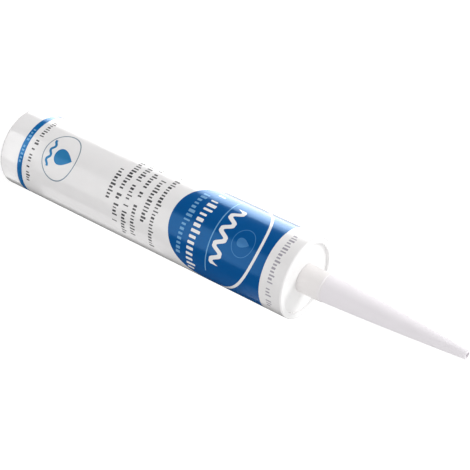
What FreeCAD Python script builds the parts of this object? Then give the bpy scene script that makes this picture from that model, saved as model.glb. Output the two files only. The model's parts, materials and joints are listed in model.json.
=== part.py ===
import FreeCAD, Part
import os

# A caulk cartridge with its nozzle screwed on. It stands on its open rear end, with the nozzle up.
# The origin is the middle of the rear rim, Z runs up the axis towards the nozzle, and sizes are in millimetres.
# Every piece is turned about that axis, so each has one outline in the plane of radius and height.

# Barrel
BARREL_LENGTH = 216.0
BARREL_RADIUS = 25.0
BARREL_WALL = 1.7
REAR_EDGE_ROUND = 0.3
REAR_LEAD_IN = 0.8
REAR_LEAD_IN_LENGTH = 2.0

# Front end of the barrel: a flat rim stands round a shallow recess
RIM_WIDTH = 3.6
RIM_OUTER_ROUND = 1.0
RIM_INNER_ROUND = 0.3
RECESS_DEPTH = 1.6
SHOULDER_THICKNESS = 2.0
SHOULDER_CORNER_ROUND = 0.8

# Neck, closed by a thin membrane that the user cuts
NECK_RADIUS = 7.0
NECK_WALL = 2.1
NECK_LENGTH = 13.0
NECK_ROOT_ROUND = 0.6
NECK_TOP_CHAMFER = 0.8
MEMBRANE_THICKNESS = 0.7

# Piston: a cup that opens to the rear, with a wiper lip at each end
PISTON_SETBACK = 7.5
PISTON_LENGTH = 24.0
PISTON_CROWN = 2.0
PISTON_WALL = 1.4
PISTON_WAIST_GAP = 0.9
LIP_LENGTH = 2.5
LIP_SLOPE = 1.5
CROWN_CHAMFER = 1.0
CROWN_CORNER_ROUND = 1.5

# Nozzle: a plain collar over the neck, then a slightly bowed cone with the outlet at its tip
COLLAR_PAST_NECK = 2.4
COLLAR_WALL = 1.5
COLLAR_EDGE_ROUND = 0.3
COLLAR_LEAD_IN = 1.0
COLLAR_STEP = 0.4
CONE_LENGTH = 90.2
CONE_BOW = 0.36
TIP_RADIUS = 2.6
TIP_WALL = 1.0
TIP_EDGE_ROUND = 0.25

# Clearances
RUNNING_CLEARANCE = 0.08
FILL_GAP = 0.05
NECK_TOP_GAP = 0.6

# Heights and radii that several pieces share
BORE_RADIUS = BARREL_RADIUS - BARREL_WALL
SHOULDER_FRONT = BARREL_LENGTH - RECESS_DEPTH
SHOULDER_REAR = SHOULDER_FRONT - SHOULDER_THICKNESS
NECK_TOP = SHOULDER_FRONT + NECK_LENGTH
NECK_BORE = NECK_RADIUS - NECK_WALL
MEMBRANE_REAR = NECK_TOP - MEMBRANE_THICKNESS
CROWN_FRONT = PISTON_SETBACK + PISTON_LENGTH


class Outline:
    """A closed outline of lines and arcs, in the plane of radius and height, that is turned into a solid."""

    def __init__(self, radius, height):
        self.start = (radius, height)
        self.here = self.start
        self.edges = []

    def line(self, radius, height):
        """Add a straight edge to this radius and height."""
        self.edges.append(Part.makeLine(point(*self.here), point(radius, height)))
        self.here = (radius, height)

    def corner(self, radius, height, centre):
        """Add a rounded corner that ends at this radius and height, about a centre."""
        first = FreeCAD.Vector(self.here[0] - centre[0], 0, self.here[1] - centre[1])
        last = FreeCAD.Vector(radius - centre[0], 0, height - centre[1])
        middle = (first + last).normalize() * first.Length
        self.through(radius, height, (centre[0] + middle.x, centre[1] + middle.z))

    def through(self, radius, height, middle):
        """Add an arc that ends at this radius and height, through a middle point."""
        arc = Part.Arc(point(*self.here), point(*middle), point(radius, height))
        self.edges.append(arc.toShape())
        self.here = (radius, height)

    def turned(self):
        """Close the outline and turn it all the way round the axis."""
        self.line(*self.start)
        face = Part.Face(Part.Wire(self.edges))
        return face.revolve(FreeCAD.Vector(0, 0, 0), FreeCAD.Vector(0, 0, 1), 360)


def point(radius, height):
    """Give the point at a radius and height on the outline's plane."""
    return FreeCAD.Vector(radius, 0, height)


def bowed_middle(start, end, bow):
    """Give the middle point of a near-straight side that bows outwards by bow."""
    return ((start[0] + end[0]) / 2 + bow, (start[1] + end[1]) / 2)


def make_barrel():
    """Make the barrel: tube wall, front shoulder inside its rim, and closed neck, all one moulding."""
    rim_radius = BARREL_RADIUS - RIM_WIDTH
    edge_centre = (BARREL_RADIUS - REAR_EDGE_ROUND, REAR_EDGE_ROUND)
    rim_centre = (BARREL_RADIUS - RIM_OUTER_ROUND, BARREL_LENGTH - RIM_OUTER_ROUND)
    lip_centre = (rim_radius + RIM_INNER_ROUND, BARREL_LENGTH - RIM_INNER_ROUND)
    root_centre = (NECK_RADIUS + NECK_ROOT_ROUND, SHOULDER_FRONT + NECK_ROOT_ROUND)
    corner_centre = (BORE_RADIUS - SHOULDER_CORNER_ROUND, SHOULDER_REAR - SHOULDER_CORNER_ROUND)

    outline = Outline(BORE_RADIUS + REAR_LEAD_IN, 0)
    outline.line(edge_centre[0], 0)
    outline.corner(BARREL_RADIUS, edge_centre[1], edge_centre)
    outline.line(BARREL_RADIUS, rim_centre[1])
    outline.corner(rim_centre[0], BARREL_LENGTH, rim_centre)
    outline.line(lip_centre[0], BARREL_LENGTH)
    outline.corner(rim_radius, lip_centre[1], lip_centre)
    outline.line(rim_radius, SHOULDER_FRONT)
    outline.line(root_centre[0], SHOULDER_FRONT)
    outline.corner(NECK_RADIUS, root_centre[1], root_centre)
    outline.line(NECK_RADIUS, NECK_TOP - NECK_TOP_CHAMFER)
    outline.line(NECK_RADIUS - NECK_TOP_CHAMFER, NECK_TOP)
    outline.line(0, NECK_TOP)
    outline.line(0, MEMBRANE_REAR)
    outline.line(NECK_BORE, MEMBRANE_REAR)
    outline.line(NECK_BORE, SHOULDER_REAR)
    outline.line(corner_centre[0], SHOULDER_REAR)
    outline.corner(BORE_RADIUS, corner_centre[1], corner_centre)
    outline.line(BORE_RADIUS, REAR_LEAD_IN_LENGTH)
    return outline.turned()


def make_piston():
    """Make the piston: a cup with two wiper lips that run in the bore."""
    lip_radius = BORE_RADIUS - RUNNING_CLEARANCE
    waist_radius = BORE_RADIUS - PISTON_WAIST_GAP
    cup_radius = waist_radius - PISTON_WALL
    cup_floor = CROWN_FRONT - PISTON_CROWN
    rear_lip_end = PISTON_SETBACK + LIP_LENGTH
    front_lip_start = CROWN_FRONT - CROWN_CHAMFER - LIP_LENGTH
    cup_centre = (cup_radius - CROWN_CORNER_ROUND, cup_floor - CROWN_CORNER_ROUND)

    outline = Outline(cup_radius, PISTON_SETBACK)
    outline.line(lip_radius, PISTON_SETBACK)
    outline.line(lip_radius, rear_lip_end)
    outline.line(waist_radius, rear_lip_end + LIP_SLOPE)
    outline.line(waist_radius, front_lip_start - LIP_SLOPE)
    outline.line(lip_radius, front_lip_start)
    outline.line(lip_radius, CROWN_FRONT - CROWN_CHAMFER)
    outline.line(lip_radius - CROWN_CHAMFER, CROWN_FRONT)
    outline.line(0, CROWN_FRONT)
    outline.line(0, cup_floor)
    outline.line(cup_centre[0], cup_floor)
    outline.corner(cup_radius, cup_centre[1], cup_centre)
    return outline.turned()


def make_sealant():
    """Make the sealant: it fills the bore from the piston's crown to the shoulder, and the neck."""
    fill_radius = BORE_RADIUS - FILL_GAP
    neck_fill_radius = NECK_BORE - FILL_GAP

    outline = Outline(0, CROWN_FRONT)
    outline.line(fill_radius, CROWN_FRONT)
    outline.line(fill_radius, SHOULDER_REAR - SHOULDER_CORNER_ROUND)
    outline.line(BORE_RADIUS - SHOULDER_CORNER_ROUND, SHOULDER_REAR)
    outline.line(neck_fill_radius, SHOULDER_REAR)
    outline.line(neck_fill_radius, MEMBRANE_REAR)
    outline.line(0, MEMBRANE_REAR)
    return outline.turned()


def make_nozzle():
    """Make the nozzle: its collar sits on the shoulder round the neck, and its bore narrows to the outlet."""
    socket_radius = NECK_RADIUS + RUNNING_CLEARANCE
    socket_top = NECK_TOP + NECK_TOP_GAP
    collar_radius = socket_radius + COLLAR_WALL
    collar_top = NECK_TOP + COLLAR_PAST_NECK
    tip_top = collar_top + CONE_LENGTH
    outlet_radius = TIP_RADIUS - TIP_WALL
    foot_centre = (collar_radius - COLLAR_EDGE_ROUND, SHOULDER_FRONT + COLLAR_EDGE_ROUND)
    step_centre = (collar_radius - COLLAR_STEP, collar_top - COLLAR_STEP)
    tip_centre = (TIP_RADIUS - TIP_EDGE_ROUND, tip_top - TIP_EDGE_ROUND)
    cone_start = (step_centre[0], collar_top)
    cone_end = (TIP_RADIUS, tip_centre[1])
    bore_start = (socket_radius, socket_top)
    bore_end = (outlet_radius, tip_top)

    outline = Outline(socket_radius + COLLAR_LEAD_IN, SHOULDER_FRONT)
    outline.line(foot_centre[0], SHOULDER_FRONT)
    outline.corner(collar_radius, foot_centre[1], foot_centre)
    outline.line(collar_radius, step_centre[1])
    outline.corner(*cone_start, step_centre)
    outline.through(*cone_end, bowed_middle(cone_start, cone_end, CONE_BOW))
    outline.corner(tip_centre[0], tip_top, tip_centre)
    outline.line(*bore_end)
    outline.through(*bore_start, bowed_middle(bore_start, bore_end, CONE_BOW))
    outline.line(socket_radius, SHOULDER_FRONT + COLLAR_LEAD_IN)
    return outline.turned()


PIECES = {
    "cartridge_barrel": make_barrel,
    "piston": make_piston,
    "sealant": make_sealant,
    "nozzle": make_nozzle,
}

os.makedirs("parts", exist_ok=True)
for node, make in PIECES.items():
    solid = make()
    solid.exportStep(f"parts/{node}.step")
    print(f"{node}: {solid.Volume / 1000:.2f} cm3, valid {solid.isValid()}")
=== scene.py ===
import json
import logging
import math
from collections.abc import Callable
from dataclasses import dataclass
from enum import Enum

import bpy
import numpy as np
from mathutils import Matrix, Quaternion, Vector


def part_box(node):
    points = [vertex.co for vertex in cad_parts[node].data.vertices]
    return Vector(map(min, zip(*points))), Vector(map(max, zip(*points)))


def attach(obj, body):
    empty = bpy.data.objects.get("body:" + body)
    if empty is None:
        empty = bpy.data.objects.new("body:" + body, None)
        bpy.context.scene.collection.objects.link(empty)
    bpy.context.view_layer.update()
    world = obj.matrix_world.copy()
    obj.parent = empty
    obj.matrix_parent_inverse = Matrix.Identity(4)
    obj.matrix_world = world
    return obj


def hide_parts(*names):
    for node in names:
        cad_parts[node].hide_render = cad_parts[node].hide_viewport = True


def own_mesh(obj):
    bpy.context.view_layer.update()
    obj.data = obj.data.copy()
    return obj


# Looks of a caulk cartridge that stands on its open rear end, with a long nozzle screwed on its neck.
# Lengths are in metres. The print's places are in millimetres, as on a print drawing: across is the way
# round the wall from the middle of the panel, and along is the height above the rear rim.

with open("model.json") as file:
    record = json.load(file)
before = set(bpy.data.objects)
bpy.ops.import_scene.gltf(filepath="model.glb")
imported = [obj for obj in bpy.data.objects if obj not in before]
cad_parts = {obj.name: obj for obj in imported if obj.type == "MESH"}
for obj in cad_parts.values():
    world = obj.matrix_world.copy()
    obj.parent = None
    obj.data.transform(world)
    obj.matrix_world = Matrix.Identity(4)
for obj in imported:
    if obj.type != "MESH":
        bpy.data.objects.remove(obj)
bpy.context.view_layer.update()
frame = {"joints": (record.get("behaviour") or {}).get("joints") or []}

LOG = logging.getLogger("caulk_cartridge")
MM = 0.001

# A turned piece has TURNS steps round its axis. A run over LONG_RUN has a holding step at HOLD from each
# end, and a plain wall has WALL_STEPS along it. A radius under ON_AXIS counts as none.
TURNS = 256
WALL_STEPS = 24
HOLD = 0.15 * MM
LONG_RUN = 4 * HOLD
ON_AXIS = 1e-6 * MM
SHARP_ANGLE = math.radians(40)

# The usual curve of screens: a straight line up to its knee, and a power above it.
SCREEN_KNEE = 0.04045
SCREEN_SLOPE = 12.92
SCREEN_OFFSET = 0.055
SCREEN_POWER = 2.4

Spot = tuple[float, float]
Colour = tuple[float, float, float]
Relief = Callable[[np.ndarray, np.ndarray, np.ndarray], np.ndarray]


def seen(red: int, green: int, blue: int) -> Colour:
    """Turn a colour as seen on a screen, 0 to 255, into the linear values that shaders take.

    Args:
        red: The screen's red.
        green: The screen's green.
        blue: The screen's blue.

    Returns:
        The linear red, green and blue, 0 to 1.
    """
    screen = np.array([red, green, blue]) / 255
    curved = ((screen + SCREEN_OFFSET) / (1 + SCREEN_OFFSET)) ** SCREEN_POWER
    linear = np.where(screen <= SCREEN_KNEE, screen / SCREEN_SLOPE, curved)
    return tuple(float(part) for part in linear)


def placed(name: str, data: bpy.types.ID) -> bpy.types.Object:
    """Make an object at the origin and put it in the scene.

    Args:
        name: The object's name.
        data: Its mesh, lamp or camera.

    Returns:
        The object.
    """
    thing = bpy.data.objects.new(name, data)
    bpy.context.scene.collection.objects.link(thing)
    return thing


class Outline:
    """An outline in the plane of radius and height, walked with the solid on its left."""

    def __init__(self, radius: float, height: float) -> None:
        """Start the outline at a radius and height."""
        self.points: list[Spot] = [(radius, height)]

    def line(self, radius: float, height: float, steps: int = 1) -> "Outline":
        """Add a straight run.

        Formula: the steps lie at even shares of the run. A long run off the axis also gets a holding step
        near each end, which keeps its shading flat.

        Args:
            radius: The radius at the run's end.
            height: The height at the run's end.
            steps: How many equal steps the run has between its holding steps.

        Returns:
            The outline itself.
        """
        start = np.array(self.points[-1])
        run = np.array([radius, height]) - start
        length = np.linalg.norm(run)
        shares = np.linspace(0, 1, steps + 1)[1:]
        if length > LONG_RUN and max(start[0], radius) > 0:
            shares = np.unique(np.concatenate([shares, [HOLD / length, 1 - HOLD / length]]))
        self.points += [tuple(start + run * share) for share in shares]
        return self

    def corner(self, radius: float, height: float, centre: Spot, steps: int = 6) -> "Outline":
        """Add a round corner by the shorter way.

        Formula: the angle about the centre runs evenly from the corner's start to its end, at one reach.

        Args:
            radius: The radius at the corner's end.
            height: The height at the corner's end.
            centre: The radius and height of the arc's centre.
            steps: How many equal steps the arc has.

        Returns:
            The outline itself.
        """
        first = np.array(self.points[-1]) - centre
        last = np.array([radius, height]) - centre
        start = math.atan2(first[1], first[0])
        turn = (math.atan2(last[1], last[0]) - start + math.pi) % (2 * math.pi) - math.pi
        angles = start + turn * np.linspace(0, 1, steps + 1)[1:]
        reach = np.linalg.norm(first)
        arc = np.stack([centre[0] + reach * np.cos(angles), centre[1] + reach * np.sin(angles)], axis=1)
        self.points += [tuple(point) for point in arc]
        return self

    def bowed(self, radius: float, height: float, bow: float, steps: int = 40) -> "Outline":
        """Add a run whose middle stands out by bow.

        Formula: at share t of the run, the straight run's radius plus 4 bow t (1 - t).

        Args:
            radius: The radius at the run's end.
            height: The height at the run's end.
            bow: How far the middle stands out from the straight run.
            steps: How many equal steps the run has between its holding steps.

        Returns:
            The outline itself.
        """
        start = np.array(self.points[-1])
        run = np.array([radius, height]) - start
        near_end = HOLD / np.linalg.norm(run)
        shares = np.unique(np.concatenate([np.linspace(0, 1, steps + 1)[1:], [near_end, 1 - near_end]]))
        curve = start + run * shares[:, None]
        curve[:, 0] += 4 * bow * shares * (1 - shares)
        self.points += [tuple(point) for point in curve]
        return self

    def turned(self, name: str, relief: Relief | None = None) -> bpy.types.Object:
        """Close the outline and turn it all the way round Z, into one closed surface.

        Formula: the point at outline step i and turn step j is (r cos a, r sin a, z), where a is j whole
        turns over TURNS, z is the outline's height and r its radius plus the relief there. A step on the
        axis is a single point.

        Args:
            name: The piece's name.
            relief: Gives what to add to the radius for each radius, height and angle, or None.

        Returns:
            The finished object, at the origin.
        """
        radius, height = np.array(self.points).T
        angle = np.arange(TURNS) * 2 * math.pi / TURNS
        reach = np.repeat(radius[:, None], TURNS, axis=1)
        if relief is not None:
            reach = reach + relief(radius[:, None], height[:, None], angle[None, :])
        tall = np.broadcast_to(height[:, None], reach.shape)
        grid = np.stack([reach * np.cos(angle), reach * np.sin(angle), tall], axis=2)

        on_axis = radius < ON_AXIS
        starts = np.concatenate([[0], np.cumsum(np.where(on_axis, 1, TURNS))[:-1]])
        index = starts[:, None] + np.where(on_axis[:, None], 0, np.arange(TURNS)[None, :])
        kept = ~on_axis[:, None] | (np.arange(TURNS) == 0)[None, :]

        here, there = index, np.roll(index, -1, axis=0)
        ring = np.stack([here, np.roll(here, -1, axis=1), np.roll(there, -1, axis=1), there], axis=2)
        pole, next_pole = on_axis, np.roll(on_axis, -1)
        quads = ring[~pole & ~next_pole].reshape(-1, 4)
        opening = ring[pole & ~next_pole][:, :, [0, 2, 3]].reshape(-1, 3)
        closing = ring[~pole & next_pole][:, :, [0, 1, 2]].reshape(-1, 3)

        mesh = bpy.data.meshes.new(name)
        mesh.from_pydata(grid[kept].tolist(), [], quads.tolist() + opening.tolist() + closing.tolist())
        mesh.validate()
        mesh.shade_smooth()
        mesh.set_sharp_from_angle(angle=SHARP_ANGLE)
        return placed(name, mesh)


@dataclass(frozen=True)
class Thread:
    """A right-handed screw thread round Z: one ridge that climbs a pitch a turn and fades at its ends."""

    low: float
    high: float
    pitch: float = 2.5 * MM
    run_out: float = 1.2 * MM
    steepness: float = 0.9

    def ridge(self, height: np.ndarray, angle: np.ndarray, shift: float = 0.0) -> np.ndarray:
        """Give the ridge's share of its full height, 0 in the groove and 1 on the crest.

        Formula: the phase is height over pitch, less the angle's share of a turn, plus the shift; the ridge
        is a half plus steepness times the cosine of the phase, cut flat at 0 and 1, and it fades evenly
        over run_out from both ends of the thread.

        Args:
            height: Heights, one row for each.
            angle: Angles round the axis, one column for each.
            shift: A share of a pitch, which is a half for the thread that fits in this one's groove.

        Returns:
            The share, one value for each height and angle.
        """
        phase = 2 * math.pi * (height / self.pitch + shift) - angle
        wave = np.clip(0.5 + self.steepness * np.cos(phase), 0, 1)
        fade = np.clip(np.minimum(height - self.low, self.high - height) / self.run_out, 0, 1)
        return wave * fade


class Signal:
    """A number that varies over a surface: a node's output, which Python's own operators work on."""

    def __init__(self, sheet: "NodeSheet", socket: bpy.types.NodeSocket) -> None:
        """Hold a socket and the node sheet that it is on."""
        self.sheet = sheet
        self.socket = socket

    def __add__(self, other: "Signal | float") -> "Signal":
        """Give the sum."""
        return self.sheet.math("ADD", self, other)

    def __sub__(self, other: "Signal | float") -> "Signal":
        """Give the difference."""
        return self.sheet.math("SUBTRACT", self, other)

    def __mul__(self, other: "Signal | float") -> "Signal":
        """Give the product."""
        return self.sheet.math("MULTIPLY", self, other)

    def __truediv__(self, other: "Signal | float") -> "Signal":
        """Give the quotient."""
        return self.sheet.math("DIVIDE", self, other)

    def __abs__(self) -> "Signal":
        """Give the size without its sign."""
        return self.sheet.math("ABSOLUTE", self)

    def __gt__(self, other: "Signal | float") -> "Signal":
        """Give 1 where this is larger, and 0 elsewhere."""
        return self.sheet.math("GREATER_THAN", self, other)

    def __lt__(self, other: "Signal | float") -> "Signal":
        """Give 1 where this is smaller, and 0 elsewhere."""
        return self.sheet.math("LESS_THAN", self, other)

    def at_least(self, other: "Signal | float") -> "Signal":
        """Give the larger of the two."""
        return self.sheet.math("MAXIMUM", self, other)

    def at_most(self, other: "Signal | float") -> "Signal":
        """Give the smaller of the two."""
        return self.sheet.math("MINIMUM", self, other)

    def whole(self) -> "Signal":
        """Give the whole number at or below this."""
        return self.sheet.math("FLOOR", self)

    def root(self) -> "Signal":
        """Give the square root."""
        return self.sheet.math("SQRT", self)

    def sine(self) -> "Signal":
        """Give the sine of this angle."""
        return self.sheet.math("SINE", self)

    def cosine(self) -> "Signal":
        """Give the cosine of this angle."""
        return self.sheet.math("COSINE", self)

    def reach(self, other: "Signal | float") -> "Signal":
        """Give the length of the diagonal whose two sides these are."""
        squared = self.sheet.math("MULTIPLY", other, other)
        return (self * self + squared).root()


class SheetKind(Enum):
    """What a node sheet belongs to, and the node that is its output."""

    MATERIAL = "ShaderNodeOutputMaterial"
    WORLD = "ShaderNodeOutputWorld"


class NodeSheet:
    """A material's or a world's node tree, with short ways to add sums, noise and layers to it."""

    def __init__(self, name: str, kind: SheetKind = SheetKind.MATERIAL) -> None:
        """Make an empty material or world, with its output and the surface's own place in it.

        Args:
            name: Its name.
            kind: Whether it is a material or a world.
        """
        owners = bpy.data.worlds if kind is SheetKind.WORLD else bpy.data.materials
        self.owner = owners.new(name)
        self.owner.use_nodes = True
        self.tree = self.owner.node_tree
        self.tree.nodes.clear()
        self.output = self.add(kind.value)
        self.place = self.add("ShaderNodeTexCoord").outputs["Object"]

    def add(self, kind: str, **settings: object) -> bpy.types.Node:
        """Add a node.

        Args:
            kind: The node's type.
            settings: The node's own settings, by name.

        Returns:
            The node.
        """
        node = self.tree.nodes.new(kind)
        for name, value in settings.items():
            setattr(node, name, value)
        return node

    def feed(self, socket: bpy.types.NodeSocket, value: object) -> None:
        """Link a signal or a socket into an input, or set the input to a plain value.

        Args:
            socket: The input.
            value: A signal, an output, a number, or a colour of three parts, which becomes opaque.
        """
        if isinstance(value, Signal):
            value = value.socket
        if isinstance(value, bpy.types.NodeSocket):
            self.tree.links.new(value, socket)
        elif isinstance(value, tuple) and len(value) == 3 and len(socket.default_value) == 4:
            socket.default_value = (*value, 1.0)
        else:
            socket.default_value = value

    def math(self, operation: str, *values: Signal | float) -> Signal:
        """Add one sum.

        Args:
            operation: The sum's operation.
            values: What it works on, in order.

        Returns:
            The sum's result.
        """
        node = self.add("ShaderNodeMath", operation=operation)
        for socket, value in zip(node.inputs, values):
            self.feed(socket, value)
        return Signal(self, node.outputs[0])

    def axes(self) -> tuple[Signal, Signal, Signal]:
        """Split the surface's place into its parts.

        Returns:
            The place along X, Y and Z, in millimetres.
        """
        split = self.add("ShaderNodeSeparateXYZ")
        self.feed(split.inputs[0], self.place)
        return tuple(Signal(self, part) / MM for part in split.outputs)

    def noise(self, size: float) -> Signal:
        """Add a soft noise with no finer grain.

        Args:
            size: About how wide its patches are, in metres.

        Returns:
            The noise, 0 to 1.
        """
        node = self.add("ShaderNodeTexNoise")
        self.feed(node.inputs["Vector"], self.place)
        node.inputs["Scale"].default_value = 1 / size
        node.inputs["Detail"].default_value = 0.0
        return Signal(self, node.outputs["Fac"])

    def dice(self, *numbers: Signal | float) -> tuple[Signal, Signal, Signal]:
        """Throw three dice, which always fall the same for the same numbers.

        Args:
            numbers: One to three numbers.

        Returns:
            Three random numbers, 0 to 1.
        """
        joined = self.add("ShaderNodeCombineXYZ")
        for socket, number in zip(joined.inputs, numbers):
            self.feed(socket, number)
        thrown = self.add("ShaderNodeTexWhiteNoise", noise_dimensions="3D")
        self.feed(thrown.inputs["Vector"], joined.outputs[0])
        split = self.add("ShaderNodeSeparateColor")
        self.feed(split.inputs[0], thrown.outputs["Color"])
        return tuple(Signal(self, part) for part in split.outputs)

    def spread(
            self, value: Signal, low: float, high: float, first: float = 0.0, last: float = 1.0) -> Signal:
        """Stretch a value evenly over another range, and hold it at that range's ends.

        Args:
            value: The value.
            low: What it becomes at first.
            high: What it becomes at last.
            first: Where its own range starts.
            last: Where its own range ends.

        Returns:
            The stretched value.
        """
        node = self.add("ShaderNodeMapRange", clamp=True)
        for name, number in (("From Min", first), ("From Max", last), ("To Min", low), ("To Max", high)):
            node.inputs[name].default_value = number
        self.feed(node.inputs["Value"], value)
        return Signal(self, node.outputs["Result"])

    def layer(self, cover: Signal | float, under: object, over: object) -> bpy.types.NodeSocket:
        """Lay one colour over another.

        Args:
            cover: How far the upper colour hides the lower one, 0 to 1.
            under: The lower colour.
            over: The upper colour.

        Returns:
            The colour that shows.
        """
        node = self.add("ShaderNodeMix", data_type="RGBA")
        self.feed(node.inputs["Factor"], cover)
        self.feed(self.colour_socket(node.inputs, "A"), under)
        self.feed(self.colour_socket(node.inputs, "B"), over)
        return self.colour_socket(node.outputs, "Result")

    @staticmethod
    def colour_socket(sockets: bpy.types.bpy_prop_collection, name: str) -> bpy.types.NodeSocket:
        """Find the colour socket of this name, where a node has one of each type."""
        return next(socket for socket in sockets if socket.name == name and socket.type == "RGBA")


@dataclass(frozen=True)
class Band:
    """A band all the way round the wall."""

    low: float
    high: float

    def distance(self, across: Signal, along: Signal) -> Signal:
        """Give the distance outside the band: how far along is from its middle, less half its width."""
        return abs(along - (self.low + self.high) / 2) - (self.high - self.low) / 2


@dataclass(frozen=True)
class ArchedField:
    """A field of colour with an arched rear edge and a straight front edge."""

    rear: float
    front: float
    arch: float

    def distance(self, across: Signal, along: Signal) -> Signal:
        """Give the distance outside the field: behind the arch's circle, or past the front edge."""
        behind = (along - (self.rear + self.arch)).at_most(0.0)
        return (across.reach(behind) - self.arch).at_least(along - self.front)


@dataclass(frozen=True)
class ArchedLine:
    """A thick line bent to an arch whose crown points to the front."""

    crown: float
    arch: float
    width: float

    def distance(self, across: Signal, along: Signal) -> Signal:
        """Give the distance outside the line: from the arch's circle, less half the width."""
        ahead = (along - (self.crown - self.arch)).at_least(0.0)
        return abs(across.reach(ahead) - self.arch) - self.width / 2


@dataclass(frozen=True)
class Rule:
    """A straight thin line that runs part of the way round."""

    middle: float
    half_length: float
    width: float

    def distance(self, across: Signal, along: Signal) -> Signal:
        """Give the distance outside the line's long box."""
        return (abs(along - self.middle) - self.width / 2).at_least(abs(across) - self.half_length)


@dataclass(frozen=True)
class Oval:
    """An oval outline."""

    middle: float
    half_length: float
    half_height: float
    width: float

    def distance(self, across: Signal, along: Signal) -> Signal:
        """Give about the distance outside the outline: from a circle that is stretched to the oval."""
        squeezed = across * (self.half_height / self.half_length)
        return abs(squeezed.reach(along - self.middle) - self.half_height) - self.width / 2


@dataclass(frozen=True)
class Drop:
    """A drop with a round foot and a pointed top."""

    foot: float
    height: float
    half_width: float

    def distance(self, across: Signal, along: Signal) -> Signal:
        """Give the distance outside the drop.

        Formula: at share y of the drop's height, its half width is as the square root of y times 1 - y,
        which is fullest at a third of the height, where it is 1 / (1.5 times the square root of 3).

        Args:
            across: The way round the wall, in millimetres.
            along: The height, in millimetres.

        Returns:
            About the distance, negative inside the drop.
        """
        share = ((along - self.foot) / self.height).at_least(0.0).at_most(1.0)
        to_fullest = 1.5 * math.sqrt(3)
        half = share.root() * (share * -1 + 1) * (self.half_width * to_fullest)
        ends = abs(along - (self.foot + self.height / 2)) - self.height / 2
        return (abs(across) - half).at_least(ends)


@dataclass(frozen=True)
class Bead:
    """A bead of even width, laid in waves."""

    middle: float
    swing: float
    wave: float
    half_length: float
    width: float

    def distance(self, across: Signal, along: Signal) -> Signal:
        """Give the distance outside the bead.

        Formula: the bead's middle is a sine wave, and the distance from it is how far along is off the
        wave, divided by the diagonal of 1 and the wave's slope there, less half the width.

        Args:
            across: The way round the wall, in millimetres.
            along: The height, in millimetres.

        Returns:
            About the distance, negative inside the bead.
        """
        turn = across * (2 * math.pi / self.wave)
        slope = turn.cosine() * (2 * math.pi * self.swing / self.wave)
        off = abs(along - self.middle - turn.sine() * self.swing) / slope.reach(1.0)
        return (off - self.width / 2).at_least(abs(across) - self.half_length)


@dataclass(frozen=True)
class BlockRow:
    """A row of small upright blocks of uneven width and height, with gaps. It says nothing."""

    foot: float
    start: float
    end: float
    pitch: float = 2.1
    low_height: float = 2.6
    tall_height: float = 3.7
    corner: float = 0.25
    gap_share: float = 0.14
    tall_share: float = 0.38
    narrowest: float = 0.34
    widest: float = 0.68

    def distance(self, across: Signal, along: Signal) -> Signal:
        """Give the distance outside the nearest block.

        Formula: the cell is a whole number of pitches, and dice thrown for it give the block's width,
        height and absence. The block is a box with round corners: the reach of what is outside its inner
        box, less the corner.

        Args:
            across: The way round the wall, in millimetres.
            along: The height, in millimetres.

        Returns:
            The distance, negative inside a block.
        """
        cell = (across / self.pitch).whole()
        wide, tall, there = across.sheet.dice(cell, self.foot)
        middle = (cell + 0.5) * self.pitch
        half_width = (wide * (self.widest - self.narrowest) + self.narrowest) * (self.pitch / 2)
        rise = (tall < self.tall_share) * (self.tall_height - self.low_height)
        half_height = (rise + self.low_height) / 2
        side = (abs(across - middle) - half_width + self.corner).at_least(0.0)
        end = (abs(along - self.foot - half_height) - half_height + self.corner).at_least(0.0)
        row_middle, row_half = (self.start + self.end) / 2, (self.end - self.start) / 2
        missing = (there < self.gap_share).at_least(abs(middle - row_middle) > row_half)
        return side.reach(end) - self.corner + missing * self.pitch


Shape = Band | ArchedField | ArchedLine | Rule | Oval | Drop | Bead | BlockRow


@dataclass(frozen=True)
class InkFilm:
    """A colour of ink, how far it hides what is under it, and how much blue sheen it has."""

    colour: Colour
    hides: float = 1.0
    sheen: float = 1.0


class Ink(Enum):
    """The inks of the print, and the bare wall that shows where a field is left open."""

    DEEP_BLUE = InkFilm(seen(0, 84, 152))
    RING_BLUE = InkFilm(seen(8, 104, 170))
    EMBLEM_BLUE = InkFilm(seen(48, 128, 182))
    PALE_BLUE = InkFilm(seen(128, 178, 218), 0.85)
    FAINT_BLUE = InkFilm(seen(90, 150, 205), 0.55)
    LINE_GREY = InkFilm(seen(104, 128, 144), 0.9)
    DARK_GREY = InkFilm(seen(40, 40, 46), 0.95, sheen=0.0)
    PALE_VIOLET = InkFilm(seen(118, 112, 132), 0.7, sheen=0.0)
    BARE = InkFilm((0.0, 0.0, 0.0), sheen=0.0)


@dataclass(frozen=True)
class PrintedShape:
    """One shape of the print and its ink. Later shapes lie over earlier ones."""

    shape: Shape
    ink: Ink


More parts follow.
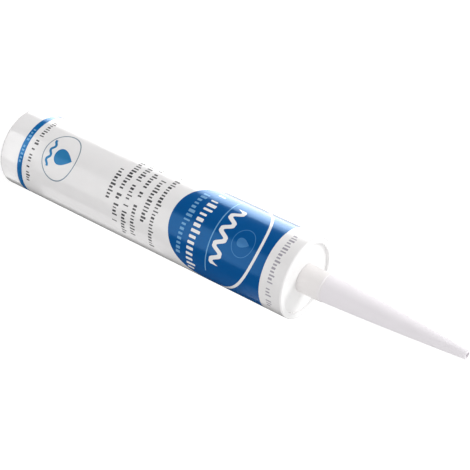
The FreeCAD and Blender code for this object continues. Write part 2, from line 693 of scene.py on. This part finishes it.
PANEL = (
    PrintedShape(Band(low=14.2, high=18.2), Ink.RING_BLUE),
    PrintedShape(BlockRow(15.3, -12.0, 14.0, pitch=2.4, low_height=1.4, tall_height=1.9), Ink.PALE_BLUE),
    PrintedShape(BlockRow(21.9, -21.0, 25.5, pitch=1.9, low_height=2.4, tall_height=3.2), Ink.DARK_GREY),
    PrintedShape(Oval(middle=43.6, half_length=15.4, half_height=12.4, width=0.6), Ink.LINE_GREY),
    PrintedShape(Drop(foot=39.6, height=13.6, half_width=5.2), Ink.EMBLEM_BLUE),
    PrintedShape(Bead(middle=36.0, swing=0.9, wave=6.4, half_length=8.6, width=1.7), Ink.EMBLEM_BLUE),
    PrintedShape(BlockRow(85.2, -11.5, 10.5), Ink.DARK_GREY),
    PrintedShape(BlockRow(92.2, -23.0, 22.5), Ink.DARK_GREY),
    PrintedShape(BlockRow(99.2, -25.0, 28.5), Ink.DARK_GREY),
    PrintedShape(BlockRow(106.2, -25.0, 26.5), Ink.DARK_GREY),
    PrintedShape(BlockRow(113.2, -16.5, 15.0), Ink.DARK_GREY),
    PrintedShape(BlockRow(120.2, -25.0, 29.5), Ink.DARK_GREY),
    PrintedShape(ArchedField(rear=132.2, front=200.8, arch=42.0), Ink.DEEP_BLUE),
    PrintedShape(ArchedLine(crown=194.0, arch=42.6, width=1.7), Ink.BARE),
    PrintedShape(BlockRow(141.2, -20.0, 23.0, pitch=2.9, low_height=2.9, tall_height=4.2), Ink.PALE_BLUE),
    PrintedShape(
        BlockRow(148.6, -25.0, 31.0, pitch=3.6, low_height=4.8, tall_height=6.3, corner=0.5), Ink.BARE),
    PrintedShape(Rule(middle=162.75, half_length=26.5, width=0.7), Ink.PALE_BLUE),
    PrintedShape(Bead(middle=169.0, swing=2.55, wave=9.6, half_length=19.2, width=2.7), Ink.BARE),
    PrintedShape(Oval(middle=183.0, half_length=8.4, half_height=7.0, width=0.4), Ink.FAINT_BLUE),
    PrintedShape(Drop(foot=178.9, height=8.2, half_width=2.8), Ink.FAINT_BLUE),
    PrintedShape(BlockRow(205.6, -19.0, 31.0, gap_share=0.2), Ink.PALE_VIOLET),
)


@dataclass(frozen=True)
class MouldedPlastic:
    """Moulded polyethylene: a faintly cloudy colour, an orange-peel skin, and a little light soaking in."""

    name: str
    colour: Colour
    cloudy: Colour
    roughness: float
    index: float = 1.5
    roughness_swing: float = 0.05
    cloud_size: float = 9 * MM
    drift_share: float = 0.6
    peel_size: float = 0.9 * MM
    peel_depth: float = 0.012 * MM
    wave_size: float = 14 * MM
    wave_depth: float = 0.03 * MM
    soak: float = 0.0
    soak_depth: float = 1.5 * MM

    def skin(self, sheet: NodeSheet) -> bpy.types.NodeSocket:
        """Add the moulded skin: long low waves under a fine orange peel.

        Args:
            sheet: The material's node sheet.

        Returns:
            The skin's normal.
        """
        waves = sheet.add("ShaderNodeBump")
        waves.inputs["Distance"].default_value = self.wave_depth
        sheet.feed(waves.inputs["Height"], sheet.noise(self.wave_size))
        peel = sheet.add("ShaderNodeBump")
        peel.inputs["Distance"].default_value = self.peel_depth
        sheet.feed(peel.inputs["Height"], sheet.noise(self.peel_size))
        sheet.feed(peel.inputs["Normal"], waves.outputs[0])
        return peel.outputs[0]

    def body(self, sheet: NodeSheet) -> bpy.types.NodeSocket:
        """Give the plastic's own colour, a little cloudy."""
        return sheet.layer(sheet.noise(self.cloud_size), self.colour, self.cloudy)

    def shine(self, sheet: NodeSheet) -> Signal:
        """Give the roughness, which drifts a little in patches smaller than the clouds."""
        low, high = self.roughness - self.roughness_swing, self.roughness + self.roughness_swing
        return sheet.spread(sheet.noise(self.cloud_size * self.drift_share), low, high)

    def made(self) -> bpy.types.Material:
        """Make the plain material.

        Returns:
            The material.
        """
        sheet = NodeSheet(self.name)
        self.finish(sheet, self.body(sheet), self.shine(sheet))
        return sheet.owner

    def finish(self, sheet: NodeSheet, colour: object, roughness: object, **inputs: object) -> None:
        """Join the colour, roughness and skin in one shader, and lead it to the output.

        Args:
            sheet: The material's node sheet.
            colour: The body's colour.
            roughness: The roughness of its skin.
            inputs: More of the shader's inputs, by name with _ for each space.
        """
        shader = sheet.add("ShaderNodeBsdfPrincipled")
        sheet.feed(shader.inputs["Base Color"], colour)
        sheet.feed(shader.inputs["Roughness"], roughness)
        sheet.feed(shader.inputs["Normal"], self.skin(sheet))
        shader.inputs["IOR"].default_value = self.index
        if self.soak > 0:
            shader.inputs["Subsurface Weight"].default_value = self.soak
            shader.inputs["Subsurface Radius"].default_value = (1.0, 1.0, 1.0)
            shader.inputs["Subsurface Scale"].default_value = self.soak_depth
        for name, value in inputs.items():
            sheet.feed(shader.inputs[name.replace("_", " ")], value)
        sheet.feed(sheet.output.inputs["Surface"], shader.outputs[0])


@dataclass(frozen=True)
class TwoTonePlastic:
    """A moulded plastic that is thicker, and so warmer and whiter, below a height."""

    plastic: MouldedPlastic
    thick_colour: Colour
    height: float
    fade: float = 1.5 * MM

    def made(self) -> bpy.types.Material:
        """Make the material: the thick part's colour fades into the thin part's at the height.

        Returns:
            The material.
        """
        sheet = NodeSheet(self.plastic.name)
        along = sheet.axes()[2]
        ends = ((self.height - self.fade) / MM, (self.height + self.fade) / MM)
        thin = sheet.spread(along, 0.0, 1.0, *ends)
        colour = sheet.layer(thin, self.thick_colour, self.plastic.body(sheet))
        self.plastic.finish(sheet, colour, self.plastic.shine(sheet))
        return sheet.owner


@dataclass(frozen=True)
class PrintedPlastic:
    """The barrel's finish: moulded plastic with the panel printed twice round its outer wall, and a whiter
    colour off that wall which paints light into the shade of the recess, the rim and the bore.
    """

    plastic: MouldedPlastic
    panel: tuple[PrintedShape, ...]
    wall_radius: float
    panels: int = 2
    edge_bleed: float = 0.05
    # Painted light: the front face, the recess, the rim's inner rounding and the bore get a whiter colour
    # than the printed wall, which lifts the shade that falls there.
    painted_light_end_colour: Colour = (0.925, 0.922, 0.918)
    ink_roughness: float = 0.2
    ink_index: float = 2.0
    ink_sheen: Colour = (0.15, 0.55, 1.0)
    ink_lacquer: float = 0.3
    lacquer_roughness: float = 0.16
    skin_depth: float = 0.7

    def place(self, sheet: NodeSheet) -> tuple[Signal, Signal, Signal]:
        """Give the place on the panel and whether it is on the outer wall.

        Formula: across is the radius times the angle from -Y, wrapped to one panel, and along is the
        height. The outer wall is where the distance from the axis is nearly the wall's radius.

        Args:
            sheet: The material's node sheet.

        Returns:
            Across and along in millimetres, and 1 on the outer wall and 0 elsewhere.
        """
        x, y, z = sheet.axes()
        radius = self.wall_radius / MM
        angle = sheet.math("ARCTAN2", x, y * -1)
        half_panel = math.pi * radius / self.panels
        across = sheet.math("WRAP", angle * radius, half_panel, -half_panel)
        outside = x.reach(y) > radius - self.skin_depth
        return across, z, outside

    def made(self) -> bpy.types.Material:
        """Make the printed material: each shape's ink covers what lies under it, with soft edges.

        Returns:
            The material.
        """
        sheet = NodeSheet(self.plastic.name)
        across, along, outside = self.place(sheet)
        # On the outer wall this is the plastic's own colour; off it, it is the whiter painted-light colour
        # that lifts the shade in the recess and bore.
        bare = sheet.layer(outside, self.painted_light_end_colour, self.plastic.body(sheet))
        colour, sheen = bare, outside * 0.0
        for printed in self.panel:
            film = printed.ink.value
            edge = printed.shape.distance(across, along)
            cover = sheet.spread(edge, 1.0, 0.0, -self.edge_bleed, self.edge_bleed) * outside * film.hides
            colour = sheet.layer(cover, colour, bare if printed.ink is Ink.BARE else film.colour)
            sheen = sheen + (sheen * -1 + film.sheen) * cover
        shine = self.plastic.shine(sheet)
        roughness = shine + (shine * -1 + self.ink_roughness) * sheen
        self.plastic.finish(
            sheet, colour, roughness,
            IOR=sheet.spread(sheen, self.plastic.index, self.ink_index),
            Specular_Tint=sheet.layer(sheen, (1.0, 1.0, 1.0), self.ink_sheen),
            Coat_Weight=outside * (sheen * (self.ink_lacquer - 1) + 1),
            Coat_Roughness=self.lacquer_roughness)
        return sheet.owner


BARREL_PLASTIC = MouldedPlastic(
    "barrel_plastic", (0.875, 0.86, 0.86), (0.85, 0.837, 0.839),
    roughness=0.26, roughness_swing=0.01, soak=0.2)
PISTON_PLASTIC = MouldedPlastic(
    "piston_plastic", (0.8, 0.8, 0.77), (0.76, 0.76, 0.73), roughness=0.42, soak=0.3)
NOZZLE_PLASTIC = MouldedPlastic(
    "nozzle_plastic", (0.885, 0.845, 0.883), (0.865, 0.826, 0.864),
    roughness=0.46, soak=0.35, soak_depth=2 * MM)
COLLAR_COLOUR = (0.89, 0.858, 0.852)
FILL_PASTE = MouldedPlastic(
    "sealant", (0.8, 0.82, 0.82), (0.76, 0.78, 0.79), roughness=0.3, cloud_size=20 * MM, soak=0.6)


def settle(
        piece: bpy.types.Object, material: bpy.types.Material, body: str, node: str) -> None:
    """Give a finished piece its material and its body, and hide the node that it replaces.

    Args:
        piece: The finished piece.
        material: Its material.
        body: The body that it moves with.
        node: The node that it replaces.
    """
    piece.data.materials.append(material)
    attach(piece, body)
    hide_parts(node)


@dataclass(frozen=True)
class Barrel:
    """The barrel: a printed tube wall, a shoulder inside a raised rim, and a closed threaded neck."""

    radius: float
    neck_top: float
    wall: float = 1.7 * MM
    rear_edge_round: float = 0.3 * MM
    lead_in: float = 0.8 * MM
    lead_in_length: float = 2.0 * MM
    rim_width: float = 3.6 * MM
    rim_outer_round: float = 1.0 * MM
    rim_inner_round: float = 0.3 * MM
    recess_depth: float = 1.6 * MM
    shoulder_thickness: float = 2.0 * MM
    shoulder_corner_round: float = 0.8 * MM
    neck_radius: float = 7.0 * MM
    neck_root_radius: float = 6.45 * MM
    neck_wall: float = 2.1 * MM
    neck_length: float = 13.0 * MM
    neck_root_round: float = 0.6 * MM
    neck_land: float = 1.4 * MM
    thread_root_slope: float = 2 * HOLD
    neck_top_chamfer: float = 0.8 * MM
    membrane: float = 0.7 * MM
    thread_rows: int = 120

    @classmethod
    def from_frame(cls) -> "Barrel":
        """Take the barrel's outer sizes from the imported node."""
        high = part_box("cartridge_barrel")[1]
        return cls(radius=high.x, neck_top=high.z)

    @property
    def shoulder(self) -> float:
        """Give the height of the shoulder's front, where the nozzle sits."""
        return self.neck_top - self.neck_length

    @property
    def thread(self) -> Thread:
        """Give the neck's thread, which leaves a plain land below it and a chamfer above."""
        return Thread(self.shoulder + self.neck_land, self.neck_top - self.neck_top_chamfer)

    def relief(self, radius: np.ndarray, height: np.ndarray, angle: np.ndarray) -> np.ndarray:
        """Raise the thread's ridge from the neck's root radius to its full radius, on the neck alone."""
        depth = self.neck_radius - self.neck_root_radius
        return self.thread.ridge(height, angle) * np.isclose(radius, self.neck_root_radius) * depth

    def build(self) -> bpy.types.Object:
        """Turn the barrel's outline, from the bore's rear edge up the outside and back down the bore.

        Returns:
            The finished piece.
        """
        bore = self.radius - self.wall
        front = self.shoulder + self.recess_depth
        rear_inside = self.shoulder - self.shoulder_thickness
        edge = (self.radius - self.rear_edge_round, self.rear_edge_round)
        rim = (self.radius - self.rim_outer_round, front - self.rim_outer_round)
        rim_inside = self.radius - self.rim_width
        lip = (rim_inside + self.rim_inner_round, front - self.rim_inner_round)
        root = (self.neck_radius + self.neck_root_round, self.shoulder + self.neck_root_round)
        corner = (bore - self.shoulder_corner_round, rear_inside - self.shoulder_corner_round)
        neck_bore = self.neck_radius - self.neck_wall
        thread = self.thread

        outline = Outline(bore + self.lead_in, 0.0)
        outline.line(edge[0], 0.0).corner(self.radius, edge[1], edge)
        outline.line(self.radius, rim[1], steps=WALL_STEPS).corner(rim[0], front, rim, steps=8)
        outline.line(lip[0], front).corner(rim_inside, lip[1], lip)
        outline.line(rim_inside, self.shoulder).line(root[0], self.shoulder)
        outline.corner(self.neck_radius, root[1], root)
        outline.line(self.neck_radius, thread.low - self.thread_root_slope)
        outline.line(self.neck_root_radius, thread.low)
        outline.line(self.neck_root_radius, thread.high, steps=self.thread_rows)
        outline.line(self.neck_radius - self.neck_top_chamfer, self.neck_top).line(0.0, self.neck_top)
        outline.line(0.0, self.neck_top - self.membrane).line(neck_bore, self.neck_top - self.membrane)
        outline.line(neck_bore, rear_inside).line(corner[0], rear_inside)
        outline.corner(bore, corner[1], corner).line(bore, self.lead_in_length, steps=WALL_STEPS)
        piece = outline.turned("printed_barrel", self.relief)
        finish = PrintedPlastic(BARREL_PLASTIC, PANEL, self.radius)
        settle(piece, finish.made(), "barrel", "cartridge_barrel")
        return piece


@dataclass(frozen=True)
class Piston:
    """The piston: a cup open to the rear, with a wiper lip at each end and a sprue mark on its floor."""

    lip_radius: float
    rear: float
    front: float
    crown: float = 2.0 * MM
    wall: float = 1.4 * MM
    waist_depth: float = 0.82 * MM
    lip_length: float = 2.5 * MM
    lip_slope: float = 1.5 * MM
    crown_chamfer: float = 1.0 * MM
    cup_round: float = 1.5 * MM
    sprue_radius: float = 2.2 * MM
    sprue_height: float = 0.4 * MM

    @classmethod
    def from_frame(cls) -> "Piston":
        """Take the piston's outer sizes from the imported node."""
        low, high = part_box("piston")
        return cls(lip_radius=high.x, rear=low.z, front=high.z)

    def build(self) -> bpy.types.Object:
        """Turn the piston's outline, from the cup's rear edge over the lips and crown to the cup's floor.

        Returns:
            The finished piece.
        """
        waist = self.lip_radius - self.waist_depth
        cup = waist - self.wall
        floor = self.front - self.crown
        front_lip = self.front - self.crown_chamfer - self.lip_length
        corner = (cup - self.cup_round, floor - self.cup_round)

        outline = Outline(cup, self.rear)
        outline.line(self.lip_radius, self.rear).line(self.lip_radius, self.rear + self.lip_length)
        outline.line(waist, self.rear + self.lip_length + self.lip_slope)
        outline.line(waist, front_lip - self.lip_slope)
        outline.line(self.lip_radius, front_lip).line(self.lip_radius, self.front - self.crown_chamfer)
        outline.line(self.lip_radius - self.crown_chamfer, self.front).line(0.0, self.front)
        outline.line(0.0, floor - self.sprue_height).line(self.sprue_radius, floor - self.sprue_height)
        outline.line(self.sprue_radius, floor).line(corner[0], floor).corner(cup, corner[1], corner)
        piece = outline.turned("wiper_piston")
        settle(piece, PISTON_PLASTIC.made(), "piston", "piston")
        return piece


@dataclass(frozen=True)
class Fill:
    """The sealant: a plug in the bore, between piston and shoulder, and a smaller one in the neck."""

    radius: float
    rear: float
    front: float
    neck_radius: float = 4.85 * MM
    corner: float = 0.8 * MM
    joint: str = "piston_travel"

    @classmethod
    def from_frame(cls) -> "Fill":
        """Take the fill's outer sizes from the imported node."""
        low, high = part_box("sealant")
        return cls(radius=high.x, rear=low.z, front=high.z)

    def build(self, shoulder_inside: float) -> list[bpy.types.Object]:
        """Turn both plugs, one in the bore and a smaller one in the neck.

        Args:
            shoulder_inside: The height of the shoulder's inner face.

        Returns:
            The plug in the bore and the one in the neck.
        """
        outline = Outline(0.0, self.rear)
        outline.line(self.radius, self.rear)
        outline.line(self.radius, shoulder_inside - self.corner, steps=WALL_STEPS)
        outline.line(self.radius - self.corner, shoulder_inside).line(0.0, shoulder_inside)
        bore_plug = outline.turned("sealant_in_bore")
        outline = Outline(0.0, shoulder_inside)
        outline.line(self.neck_radius, shoulder_inside).line(self.neck_radius, self.front, steps=4)
        outline.line(0.0, self.front)
        neck_plug = outline.turned("sealant_in_neck")

        paste = FILL_PASTE.made()
        for plug in (bore_plug, neck_plug):
            settle(plug, paste, "barrel", "sealant")
        travel = next(joint for joint in frame["joints"] if joint["name"] == self.joint)["range_m"][1]
        length = shoulder_inside - self.rear
        1 - travel / length
        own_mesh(bore_plug)
        return [bore_plug, neck_plug]


@dataclass(frozen=True)
class Nozzle:
    """The nozzle: a threaded collar round the neck, then a long cone, slightly bowed, open at its tip."""

    collar_radius: float
    foot: float
    tip: float
    clearance: float = 0.08 * MM
    collar_edge_round: float = 0.3 * MM
    collar_lead_in: float = 1.0 * MM
    collar_past_neck: float = 2.4 * MM
    collar_step: float = 0.4 * MM
    neck_top_gap: float = 0.6 * MM
    cone_bow: float = 0.36 * MM
    tip_radius: float = 2.6 * MM
    tip_wall: float = 1.0 * MM
    tip_edge_round: float = 0.25 * MM
    thread_depth: float = 0.5 * MM

    @classmethod
    def from_frame(cls) -> "Nozzle":
        """Take the nozzle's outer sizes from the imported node."""
        low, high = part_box("nozzle")
        return cls(collar_radius=high.x, foot=low.z, tip=high.z)

    def build(self, barrel: Barrel) -> bpy.types.Object:
        """Turn the nozzle's outline, from the socket's foot up the outside and back down the bore.

        Args:
            barrel: The barrel, whose neck and thread the nozzle fits.

        Returns:
            The finished piece.
        """
        socket = barrel.neck_radius + self.clearance
        socket_top = barrel.neck_top + self.neck_top_gap
        collar_top = barrel.neck_top + self.collar_past_neck
        foot = (self.collar_radius - self.collar_edge_round, self.foot + self.collar_edge_round)
        step = (self.collar_radius - self.collar_step, collar_top - self.collar_step)
        tip = (self.tip_radius - self.tip_edge_round, self.tip - self.tip_edge_round)

        def relief(radius: np.ndarray, height: np.ndarray, angle: np.ndarray) -> np.ndarray:
            """Raise the socket's own ridge inwards, in the groove of the neck's thread."""
            ridge = barrel.thread.ridge(height, angle, shift=0.5)
            return -self.thread_depth * ridge * np.isclose(radius, socket)

        outline = Outline(socket + self.collar_lead_in, self.foot)
        outline.line(foot[0], self.foot).corner(self.collar_radius, foot[1], foot)
        outline.line(self.collar_radius, step[1], steps=4).corner(step[0], collar_top, step)
        outline.bowed(self.tip_radius, tip[1], self.cone_bow).corner(tip[0], self.tip, tip)
        outline.line(self.tip_radius - self.tip_wall, self.tip)
        outline.bowed(socket, socket_top, self.cone_bow)
        outline.line(socket, barrel.thread.high)
        outline.line(socket, barrel.thread.low, steps=barrel.thread_rows)
        outline.line(socket, self.foot + self.collar_lead_in)
        piece = outline.turned("long_nozzle", relief)
        finish = TwoTonePlastic(NOZZLE_PLASTIC, COLLAR_COLOUR, collar_top)
        settle(piece, finish.made(), "nozzle", "nozzle")
        return piece


@dataclass(frozen=True)
class Viewpoint:
    """Where the picture is taken from: the eye, what it looks at, its roll about that line and its lens."""

    eye: tuple[float, float, float] = (75.5 * MM, -752.5 * MM, 586.3 * MM)
    target: tuple[float, float, float] = (-4.9 * MM, -0.5 * MM, 162.1 * MM)
    roll: float = math.radians(115.3)
    lens: float = 114.9
    sensor: float = 36.0
    nearest: float = 0.01
    farthest: float = 50.0

    def build(self) -> bpy.types.Object:
        """Make the camera and give it to the scene.

        Returns:
            The camera.
        """
        data = bpy.data.cameras.new("camera")
        data.lens = self.lens
        data.sensor_width = self.sensor
        data.sensor_fit = "HORIZONTAL"
        data.clip_start, data.clip_end = self.nearest, self.farthest
        camera = placed("camera", data)
        gaze = Vector(self.target) - Vector(self.eye)
        camera.location = self.eye
        camera.rotation_mode = "QUATERNION"
        camera.rotation_quaternion = gaze.to_track_quat("-Z", "Y") @ Quaternion((0, 0, 1), self.roll)
        bpy.context.scene.camera = camera
        return camera

    def floor_axes(self) -> tuple[Vector, Vector]:
        """Turn the view into directions on the floor, for a level viewer who stands at the eye.

        Returns:
            The directions to the right and away.
        """
        away = Vector(self.target) - Vector(self.eye)
        away.z = 0
        away.normalize()
        return away.cross(Vector((0, 0, 1))), away


@dataclass(frozen=True)
class ReflectionCard:
    """A flat card on the floor that shows in reflections alone, laid where a strip of the wall mirrors it.

    The strip runs along the wall between two lines, first and last, in millimetres across from the line
    that faces the viewer. It is bright for a light panel and nearly black for velvet. Cards that overlap
    have their own lifts over the floor.
    """

    name: str
    first: float
    last: float
    near: float
    far: float
    brightness: float
    lift: float = 0.8 * MM
    wall_radius: float = 25.0 * MM
    steps: int = 32

    def build(self, right: Vector, away: Vector) -> bpy.types.Object:
        """Lay the card on the floor.

        Formula: the line of the wall at an angle t from the viewer's side mirrors what lies from there
        in the direction of 2 t, so the card's two long edges are at near and far metres from the wall in
        that direction, for t from the first line to the last.

        Args:
            right: The floor's direction to the viewer's right.
            away: The floor's direction away from the viewer.

        Returns:
            The card.
        """
        turn = np.linspace(self.first, self.last, self.steps + 1) * MM / self.wall_radius
        wall = np.stack([np.sin(turn), -np.cos(turn)], axis=1) * self.wall_radius
        mirrored = np.stack([np.sin(2 * turn), -np.cos(2 * turn)], axis=1)
        edges = np.concatenate([wall + mirrored * self.near, wall + mirrored * self.far])
        places = edges @ np.array([right, away]) + (0, 0, self.lift)
        near = np.arange(self.steps)
        far = near + self.steps + 1
        mesh = bpy.data.meshes.new(self.name)
        mesh.from_pydata(places.tolist(), [], np.stack([near, near + 1, far + 1, far], axis=1).tolist())
        sheet = NodeSheet(self.name)
        glow = sheet.add("ShaderNodeEmission")
        glow.inputs["Strength"].default_value = self.brightness
        sheet.feed(sheet.output.inputs["Surface"], glow.outputs[0])
        mesh.materials.append(sheet.owner)
        card = placed(self.name, mesh)
        card.visible_camera = card.visible_diffuse = card.visible_shadow = False
        card.visible_transmission = card.visible_volume_scatter = False
        return card


@dataclass(frozen=True)
class SoftBox:
    """A square area lamp that faces the cartridge's middle."""

    name: str
    place: tuple[float, float, float]
    size: float
    power: float
    aim_height: float = 150 * MM

    def build(self, right: Vector, away: Vector) -> bpy.types.Object:
        """Hang the lamp at its place, which is given to the right, away and up.

        Args:
            right: The floor's direction to the viewer's right.
            away: The floor's direction away from the viewer.

        Returns:
            The lamp.
        """
        data = bpy.data.lights.new(self.name, "AREA")
        data.shape = "SQUARE"
        data.size = self.size
        data.energy = self.power
        lamp = placed(self.name, data)
        lamp.location = right * self.place[0] + away * self.place[1] + Vector((0, 0, self.place[2]))
        aim = Vector((0, 0, self.aim_height)) - lamp.location
        lamp.rotation_mode = "QUATERNION"
        lamp.rotation_quaternion = aim.to_track_quat("-Z", "Y")
        lamp.visible_camera = False
        return lamp


@dataclass(frozen=True)
class Studio:
    """The set: a plain pale floor, an even sky, soft boxes, cards that shape the shine, and the camera."""

    viewpoint: Viewpoint = Viewpoint()
    floor_half: float = 6.0
    floor_drop: float = 0.1 * MM
    floor_colour: Colour = (0.93, 0.93, 0.93)
    shown_paint: Colour = (0.4, 0.4, 0.4)
    shown_glow: float = 0.7
    sky: float = 0.79
    lamps: tuple[SoftBox, ...] = (
        SoftBox("overhead_box", (0.0, 0.1, 1.25), 0.9, 1.0),
        SoftBox("key_box", (-0.85, 0.12, 1.0), 0.35, 5.0),
        SoftBox("fill_box", (0.9, -0.6, 0.5), 0.8, 0.4),
    )
    cards: tuple[ReflectionCard, ...] = (
        ReflectionCard("velvet", -39.2, 39.2, 0.0, 1.0, brightness=0.02, lift=0.4 * MM),
        ReflectionCard("panel_edge", -20.6, -23.0, 0.0, 0.235, brightness=2.1),
        ReflectionCard("panel_edge_ink", -20.1, -23.0, 0.235, 0.36, brightness=3.2),
        ReflectionCard("panel_edge_front", -20.6, -23.0, 0.36, 0.42, brightness=2.1),
        ReflectionCard("panel", -23.0, -32.5, 0.0, 0.42, brightness=4.2),
        ReflectionCard("panel_back", -32.5, -36.2, 0.0, 0.8, brightness=1.3, lift=0.9 * MM),
        ReflectionCard("panel_rim", -36.2, -39.2, 0.0, 0.8, brightness=0.75, lift=0.9 * MM),
        ReflectionCard("far_panel", -19.0, -34.0, 0.425, 1.0, brightness=0.9),
        ReflectionCard("grey_strip", -1.8, 11.0, 0.036, 0.395, brightness=0.8),
        ReflectionCard("foot_glow", -4.5, 13.5, 0.0, 0.018, brightness=2.3),
        ReflectionCard("foot_glow_side", 13.5, 29.5, 0.0, 0.0165, brightness=1.2),
        ReflectionCard("foot_glow_left", -20.0, -4.5, 0.0, 0.0165, brightness=0.3),
        ReflectionCard("ring_glow", -7.0, 6.5, 0.019, 0.036, brightness=1.4),
        ReflectionCard("right_strip", 19.5, 29.5, 0.044, 0.215, brightness=0.7),
        ReflectionCard("right_strip_ink", 23.0, 29.0, 0.24, 0.352, brightness=0.04),
        ReflectionCard("right_strip_front", 19.5, 29.5, 0.368, 0.4, brightness=0.7),
    )

    @staticmethod
    def lead_out(sheet: NodeSheet, lighting: bpy.types.Node, shown: bpy.types.Node) -> None:
        """Lead two shaders to the output: one lights the object, and the other is what shows as background.

        The background shows to a ray from the camera, from a reflection, or through glass.

        Args:
            sheet: The floor's or the sky's node sheet.
            lighting: The shader that lights the object.
            shown: The shader that shows.
        """
        path = sheet.add("ShaderNodeLightPath")
        names = ("Is Camera Ray", "Is Glossy Ray", "Is Transmission Ray")
        camera, glossy, through = (Signal(sheet, path.outputs[name]) for name in names)
        choice = sheet.add("ShaderNodeMixShader")
        sheet.feed(choice.inputs[0], camera.at_least(glossy).at_least(through))
        sheet.feed(choice.inputs[1], lighting.outputs[0])
        sheet.feed(choice.inputs[2], shown.outputs[0])
        sheet.feed(sheet.output.inputs["Surface"], choice.outputs[0])

    def floor_material(self) -> bpy.types.Material:
        """Make the floor's paint, which lights as pale paint does, and shows white with soft shadows.

        Returns:
            The material.
        """
        sheet = NodeSheet("floor_paint")
        paint = sheet.add("ShaderNodeBsdfDiffuse")
        sheet.feed(paint.inputs["Color"], self.floor_colour)
        thin_paint = sheet.add("ShaderNodeBsdfDiffuse")
        sheet.feed(thin_paint.inputs["Color"], self.shown_paint)
        glow = sheet.add("ShaderNodeEmission")
        glow.inputs["Strength"].default_value = self.shown_glow
        shown = sheet.add("ShaderNodeAddShader")
        sheet.feed(shown.inputs[0], thin_paint.outputs[0])
        sheet.feed(shown.inputs[1], glow.outputs[0])
        self.lead_out(sheet, paint, shown)
        return sheet.owner

    def build_floor(self) -> bpy.types.Object:
        """Lay the floor just under the cartridge's rear rim.

        Returns:
            The floor.
        """
        half, low = self.floor_half, -self.floor_drop
        mesh = bpy.data.meshes.new("floor")
        corners = [(-half, -half, low), (half, -half, low), (half, half, low), (-half, half, low)]
        mesh.from_pydata(corners, [], [(0, 1, 2, 3)])
        mesh.materials.append(self.floor_material())
        floor = placed("floor", mesh)
        return floor

    def build_sky(self) -> None:
        """Make the sky: an even soft light that shows white."""
        sheet = NodeSheet("sky", SheetKind.WORLD)
        light, white = (sheet.add("ShaderNodeBackground") for _ in range(2))
        for background, strength in ((light, self.sky), (white, 1.0)):
            sheet.feed(background.inputs["Color"], (1.0, 1.0, 1.0))
            sheet.feed(background.inputs["Strength"], strength)
        self.lead_out(sheet, light, white)
        bpy.context.scene.world = sheet.owner

    def build(self) -> None:
        """Set up the whole studio."""
        bpy.context.scene.view_settings.view_transform = "Standard"
        self.viewpoint.build()
        self.build_floor()
        self.build_sky()
        right, away = self.viewpoint.floor_axes()
        for lamp in self.lamps:
            lamp.build(right, away)
        for card in self.cards:
            card.build(right, away)


def report(piece: bpy.types.Object) -> None:
    """Log a finished piece's name and size."""
    triangles = sum(len(face.vertices) - 2 for face in piece.data.polygons)
    LOG.info("%s: %d vertices, %d triangles", piece.name, len(piece.data.vertices), triangles)


def main() -> None:
    """Build the studio and the four sub-assemblies in order, and report each piece."""
    logging.basicConfig(level=logging.INFO, format="%(name)s: %(message)s")
    Studio().build()
    barrel = Barrel.from_frame()
    report(barrel.build())
    report(Piston.from_frame().build())
    for plug in Fill.from_frame().build(barrel.shoulder - barrel.shoulder_thickness):
        report(plug)
    report(Nozzle.from_frame().build(barrel))


if __name__ == "__main__":
    main()
